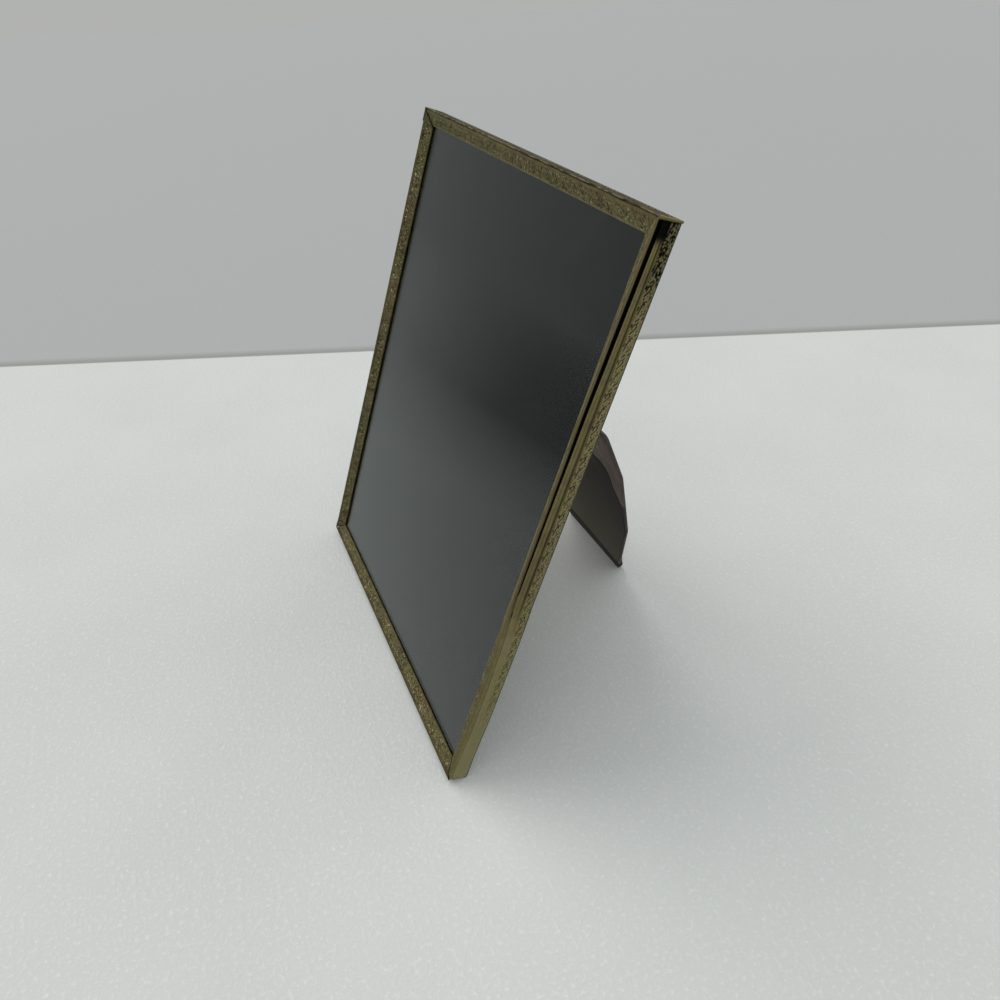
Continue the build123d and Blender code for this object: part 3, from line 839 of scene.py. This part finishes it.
def round_corners(corners, radii, step):
    """Points of a closed outline of straight sides, in turn anticlockwise: at each corner an arc of
    its radius, tangent to both sides, and about a step apart along the sides."""
    corners = np.array(corners, dtype=float)
    arcs = []
    for index, (corner, radius) in enumerate(zip(corners, radii)):
        before = corners[index - 1] - corner
        after = corners[(index + 1) % len(corners)] - corner
        before, after = before / np.linalg.norm(before), after / np.linalg.norm(after)
        half = np.arccos(np.clip(before @ after, -1, 1)) / 2
        middle = corner + (before + after) / np.linalg.norm(before + after) * radius / sin(half)
        start = corner + before * radius / np.tan(half) - middle
        turn = (np.pi - 2 * half) * np.sign(before[1] * after[0] - before[0] * after[1])
        angles = np.linspace(0, turn, 9 if radius > 2 else 5) if radius else np.zeros(1)
        arcs.append(middle + np.stack((start[0] * np.cos(angles) - start[1] * np.sin(angles),
                                       start[0] * np.sin(angles) + start[1] * np.cos(angles)), axis=-1))
    points = []
    for arc, following in zip(arcs, arcs[1:] + arcs[:1]):
        side = following[0] - arc[-1]
        count = max(int(np.hypot(*side) / step), 1)
        points += [arc[:-1], arc[-1] + np.arange(count)[:, None] / count * side]
    return np.concatenate(points)


def board(plane, edge, section, soft=1.0):
    """Points of a flat piece with a shaped edge: its outline is drawn in by each length of the
    section, less where it isn't soft, and set at that length's level."""
    run = np.roll(edge, -1, axis=0) - np.roll(edge, 1, axis=0)
    inward = np.stack((-run[:, 1], run[:, 0]), axis=-1) / np.hypot(*run.T)[:, None]
    drawn, height = np.array(section).T
    drawn = drawn[:, None] * (0.08 + 0.92 * np.broadcast_to(soft, len(edge)))
    place = edge + drawn[..., None] * inward
    return plane.at(place[..., 0], place[..., 1], height[:, None])


def black_sheet():
    """The black sheet behind the glass: a plain rectangle that lies just off the glass, so that the
    glass keeps its second, rear reflection."""
    low, high = face.reach("backing_sheet")
    corners = [(low[0], low[1]), (high[0], low[1]), (high[0], high[1]), (low[0], high[1])]
    edge = round_corners(corners, [0.4] * 4, 20)
    front = high[2] - sheet_space
    section = [(0.8, front), (0, front), (0, low[2]), (0.8, low[2])]
    make_piece("black_backing", board(face, edge, section), finishes["backing_sheet"], "frame",
               "black_paper", "backing_sheet")


def soft_edge(front, rear, skin):
    """Section of the leg's edge: a small round at the front, a low wall, and a long quarter of an
    ellipse down to the rear, where the board has been crushed. Drawn in by the skin's thickness."""
    turn = np.linspace(0, np.pi / 2, 10)
    down = front - 0.5 + (rear - front + 0.5) * np.sin(turn)
    round_off = np.stack((skin + edge_crush * (1 - np.cos(turn)), down), axis=-1)
    return np.concatenate(([(1.6, front), (0.9, front - 0.03), (skin + 0.45, front - 0.12),
                            (skin + 0.15, front - 0.25), (skin, front - 0.4)], round_off,
                           [(skin + edge_crush + 0.35, rear)]))


def easel_leg():
    """The leg's board, its brown covering wrapped round the edges, the dark lining on the inner face
    and the binding folded round the foot."""
    low, high = leg.reach("leg_cover")
    rear, front = low[2], high[2]
    foot, top = low[1], high[1]
    notch = leg.reach("hinge_leaf_fixed")[1][0] + 0.8
    notch_floor = -2.2
    left = lambda up: low[0] + (up - foot) * (low[0] + leg_shoulder) / (foot - top)
    right = lambda up: leg_foot + (up - foot) * (slant[0][0] - leg_foot) / (slant[0][1] - foot)
    corners = [(low[0], foot), (leg_foot, foot), *slant, (leg_neck, slant[-1][1]), (leg_shoulder, top),
               (notch, top), (notch, notch_floor), (-notch, notch_floor), (-notch, top),
               (-leg_shoulder, top)]
    edge = round_corners(corners, (1.0, 1.5, 6.0, 6.0, 4.6, 8.0, 1.0, 0, 0, 0, 0, 1.0), 1.5)
    soft = fade(edge[:, 1], foot + 5, foot + 22) * (1 - fade(edge[:, 1], -14, -4))
    skin = leg_skin
    outside = soft_edge(front, rear, 0)
    inside = soft_edge(front - skin, rear + skin, skin)
    wrap = board(leg, edge, outside, soft)
    core = board(leg, edge, inside, soft)
    shell = loop_faces(len(outside), len(edge))
    cavity = [[index + len(outside) * len(edge) for index in side[::-1]]
              for side in loop_faces(len(inside), len(edge))]
    cover = make_piece("leg_covering", np.concatenate((wrap, core)), leg_cloth, "leg", "brown_covering",
                       "leg_cover", faces=shell + cavity)
    # Painted shade on the cover's rounded edge, darkest towards the rear, and most on the right side below
    # the lining's step
    ring = np.arange(len(outside))
    dark = np.interp(ring, (0, 3, 6, 9, len(outside) - 1), (0, 0.25, 0.7, 0.95, 0.5))
    below = (edge[:, 0] > 0) * fade(lining_step + 1.0 - edge[:, 1], 0, 2.5)
    patch = (edge[:, 0] > 0) * bell(edge[:, 1], lining_step + 0.5, 1.6)
    rim = np.interp(ring, (0, 1, 10, 14), (0, 1, 1, 0))[:, None]
    dark = np.maximum(dark[:, None], rim * np.maximum(0.84 * below, 0.94 * patch))
    note(cover, "edge", np.concatenate((dark, dark)))
    make_piece("leg_core", core, leg_fibreboard, "leg", "fibreboard", "leg_board")

    sheet_low, sheet_high = leg.reach("leg_lining")
    margin = 0.8
    corners = [(left(foot) + margin, foot + 1.0), (right(foot) - margin, foot + 1.0),
               (slant[0][0] - margin, slant[0][1]), (lining_out, lining_step), (lining_right, lining_turn),
               (lining_right, lining_top), (left(lining_top) + margin, lining_top)]
    edge = round_corners(corners, (0.8, 0.8, 6.0, 1.5, 8.0, 9.0, 4.0), 1.5)
    thin = sheet_high[2]
    section = [(0.55, thin), (0.45, thin), (0.1, thin), (0, thin - 0.05), (0, sheet_low[2])]
    lining = make_piece("leg_inner_lining", board(leg, edge, section), finishes["leg_lining"], "leg",
                        "dark_lining", "leg_lining")
    note(lining, "edge", np.repeat((0, 0.1, 0.8, 1.0, 1.0), len(edge)))
    note(lining, "faded", np.tile(fade(-edge[:, 1], 130, 205), len(section)))

    low, high = leg.reach("foot_binding")
    rear, front, foot_edge = low[2] + 0.05, high[2] - 0.05, low[1]
    corners = [(left(foot) - 0.15, foot_edge), (right(foot) + 0.15, foot_edge),
               (right(foot + binding_heights[1]) + 0.25, foot + binding_heights[1]),
               (left(foot + binding_heights[0]) - 0.15, foot + binding_heights[0])]
    edge = round_corners(corners, (1.0, 1.4, 0.5, 0.5), 1.0)
    section = [(0.9, front), (0.3, front), (0.06, front - 0.05), (0, front - 0.2), (0, rear + 0.2),
               (0.06, rear + 0.05), (0.3, rear), (0.9, rear)]
    make_piece("foot_strip", board(leg, edge, section), finishes["foot_binding"], "leg", "dark_binding",
               "foot_binding")


def turn_buttons():
    """Each turn button is a stamped brass drop: a wide heel on its rivet and a narrow tip over the
    moulding's flange, its edges rolled over by the punch."""
    for joint in frame["joints"]:
        name = joint["name"]
        if not name.startswith("button_turn"):
            continue
        node = name.replace("button_turn", "turn_button")
        body = name.replace("button_turn", "button")
        pivot = (np.array(joint["pos_m"]) * METRE - face.origin) @ np.array((face.right, face.up)).T
        local = (node_points(node) - face.origin) @ np.array((face.right, face.up, face.front)).T
        apart = local[:, :2] - pivot
        reach = np.hypot(*apart.T)
        heading = apart[reach.argmax()] / reach.max()
        heel = reach[apart @ heading < 0].max()
        span = reach.max() - button_tip
        spread = np.arccos((heel - button_tip) / span)
        side = np.array((-heading[1], heading[0]))
        turn = np.linspace(spread, 2 * np.pi - spread, 28)
        small = np.linspace(-spread, spread, 16)
        around = lambda angles: np.cos(angles)[:, None] * heading + np.sin(angles)[:, None] * side
        edge = np.concatenate((pivot + heel * around(turn),
                               pivot + span * heading + button_tip * around(small)))
        rear, front = local[:, 2].min(), local[:, 2].max()
        section = [(0.9, front), (0.1, front), (0, front - 0.08), (0, rear + 0.26), (0.05, rear + 0.12),
                   (0.16, rear + 0.03), (0.3, rear), (0.9, rear)]
        piece = make_piece(node + "_drop", board(face, edge, section), button_brass, body,
                           "button_brass", node)
        note(piece, "edge", np.repeat((0, 0, 0, 0, 0.4, 0.8, 0.3, 0), len(edge)))


# Stage

def set_stage():
    """A pale floor, a little greyer past a line to the left of the object, with a narrow band of
    painted shadow just past that line. In gloss it is seen as a painted reflection: a glow, lighter
    close to the object and darker farther away to the front left."""
    mesh = bpy.data.meshes.new("floor")
    corners = [(-1, -1), (1, -1), (1, 1), (-1, 1)]
    mesh.from_pydata([(floor_reach * x, floor_reach * y, floor_height) for x, y in corners], [],
                     [(0, 1, 2, 3)])
    material, principled, add, place = shader("floor", roughness=0.8, specular_ior_level=0.15)
    grain = noise(add, place, 520, 3, 0.6)
    clouds = noise(add, place, 9, 2, 0.5)
    ground = mix(add, level(add, clouds, 0.35, 0.7), srgb(206, 207, 204), srgb(210, 211, 208))
    ground = mix(add, level(add, grain, 0.54, 0.72, 0, 0.8), ground, srgb(222, 223, 220))
    beyond = along_heading(add, place, (-wall_line[1], wall_line[0]))
    # Painted shadow: a narrow darker band just past the line, then the greyer floor beyond
    ground = mix(add, level(add, beyond, wall_away - 0.001, wall_away + 0.001), ground, srgb(150, 151, 147))
    ground = mix(add, level(add, beyond, wall_away + 0.004, wall_away + 0.014), ground, srgb(172, 173, 171))
    away = along_heading(add, place, front_left)
    aside = along_heading(add, place, (-front_left[1], front_left[0]))
    turned = sums(add, "DIVIDE", aside, sums(add, "MAXIMUM", away, 0.01))
    distant = mix(add, level(add, turned, -0.26, -0.02), side_gloss, middle_gloss)
    shown = mix(add, level(add, away, 0.36, 0.8), near_gloss, distant)
    shown = mix(add, level(add, away, 1.4, 4.5), shown, far_gloss)
    dress(principled, base_color=ground, normal=bump(add, grain, 0.4, 0.001))
    # Painted reflection: glossy rays see the floor as a glow of these colours, not its lit surface
    glow = add("Emission", {"Color": shown, "Strength": 1.0}).outputs[0]
    glossy = add("LightPath").outputs["Is Glossy Ray"]
    either = add("MixShader", {0: glossy, 1: principled.outputs[0], 2: glow}).outputs[0]
    put(material.node_tree.nodes["Material Output"], "Surface", either)
    mesh.materials.append(material)
    floor = in_scene("floor", mesh)
    floor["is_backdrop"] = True


def set_light():
    """Even light from all round, and a broad soft lamp far above to the left. In gloss the room is
    seen darker to the front left, and the camera sees it a plain grey."""
    world = bpy.data.worlds.new("studio")
    world.use_nodes = True
    background = world.node_tree.nodes["Background"]
    add = adder(world.node_tree)
    dimmed = lambda colour: (*[value / room_strength for value in colour[:3]], 1.0)
    ahead = along_heading(add, add("TexCoord").outputs["Generated"], room_front_left)
    path = add("LightPath").outputs
    darker = sums(add, "MULTIPLY", level(add, ahead, 0.55, 0.92), path["Is Glossy Ray"])
    colour = mix(add, darker, room_light, dimmed(far_gloss))
    put(background, "Color", mix(add, path["Is Camera Ray"], colour, dimmed(wall_grey)))
    put(background, "Strength", room_strength)
    bpy.context.scene.world = world
    lamp = bpy.data.lights.new("window", "SUN")
    lamp.angle = radians(lamp_spread)
    lamp.energy = lamp_strength
    lamp.color = lamp_colour
    holder = in_scene("window", lamp)
    holder.rotation_euler = Vector(lamp_way).to_track_quat("-Z", "Y").to_euler()


def set_camera():
    """The photograph's own view of the frame, from the right and above."""
    forward = Vector(look).normalized()
    right = forward.cross(Vector(upright)).normalized()
    data = bpy.data.cameras.new("camera")
    data.lens = lens
    data.sensor_width = sensor
    data.clip_start = 0.01
    holder = in_scene("camera", data)
    holder.matrix_world = (Matrix.Translation(eye)
                           @ Matrix((right, right.cross(forward), -forward)).transposed().to_4x4())
    bpy.context.scene.camera = holder


bpy.context.scene.view_settings.view_transform = "Standard"
set_camera()
set_light()
set_stage()

brass = aged_brass()
leg_cloth = leathercloth("leg_covering", srgb(128, 106, 92), srgb(102, 80, 74), srgb(156, 138, 114))
leg_fibreboard = board_stuff("leg_fibreboard", srgb(104, 80, 58), srgb(80, 60, 42), srgb(120, 96, 72))
button_brass = plain_metal("button_brass", srgb(150, 132, 84), srgb(112, 98, 60), 0.38)

# Finishes of the pieces that stay as they are in the CAD, by their names or a part of them
finishes = {
    "glass_pane": picture_glass(),
    "backing_sheet": board_stuff("black_paper", srgb(3, 3, 4), srgb(2, 2, 2), srgb(5, 5, 6), specular=0.0),
    "filler_card": board_stuff("grey_card", srgb(128, 122, 112), srgb(105, 100, 92), srgb(140, 134, 124)),
    "back_board": board_stuff("fibreboard", srgb(112, 86, 62), srgb(84, 62, 44), srgb(128, 102, 76)),
    "back_cover": leathercloth("brown_covering", srgb(88, 70, 60), srgb(60, 47, 40), srgb(112, 94, 82)),
    "leg_lining": board_stuff("dark_lining", srgb(70, 62, 65), srgb(60, 54, 57), srgb(88, 85, 70)),
    "foot_binding": board_stuff("dark_binding", srgb(38, 34, 29), srgb(27, 24, 21), srgb(50, 46, 40)),
    "rivets": plain_metal("rivet_brass", srgb(160, 142, 92), srgb(120, 104, 66), 0.34),
    "hinge_leaf": plain_metal("hinge_metal", srgb(138, 124, 82), srgb(98, 88, 58), 0.4),
    "hinge_pin": plain_metal("pin_steel", srgb(140, 138, 132), srgb(96, 92, 84), 0.35),
    "corner_key": plain_metal("key_steel", srgb(120, 118, 112), srgb(84, 78, 70), 0.45),
}
for name, node in frame["nodes"].items():
    for part, finish in finishes.items():
        if part in name:
            node.data.materials.clear()
            node.data.materials.append(finish)

mouldings()
tongues()
black_sheet()
easel_leg()
turn_buttons()

{"cad": [list(corner) for corner in cad_box], "visual": [list(corner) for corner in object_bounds()]}
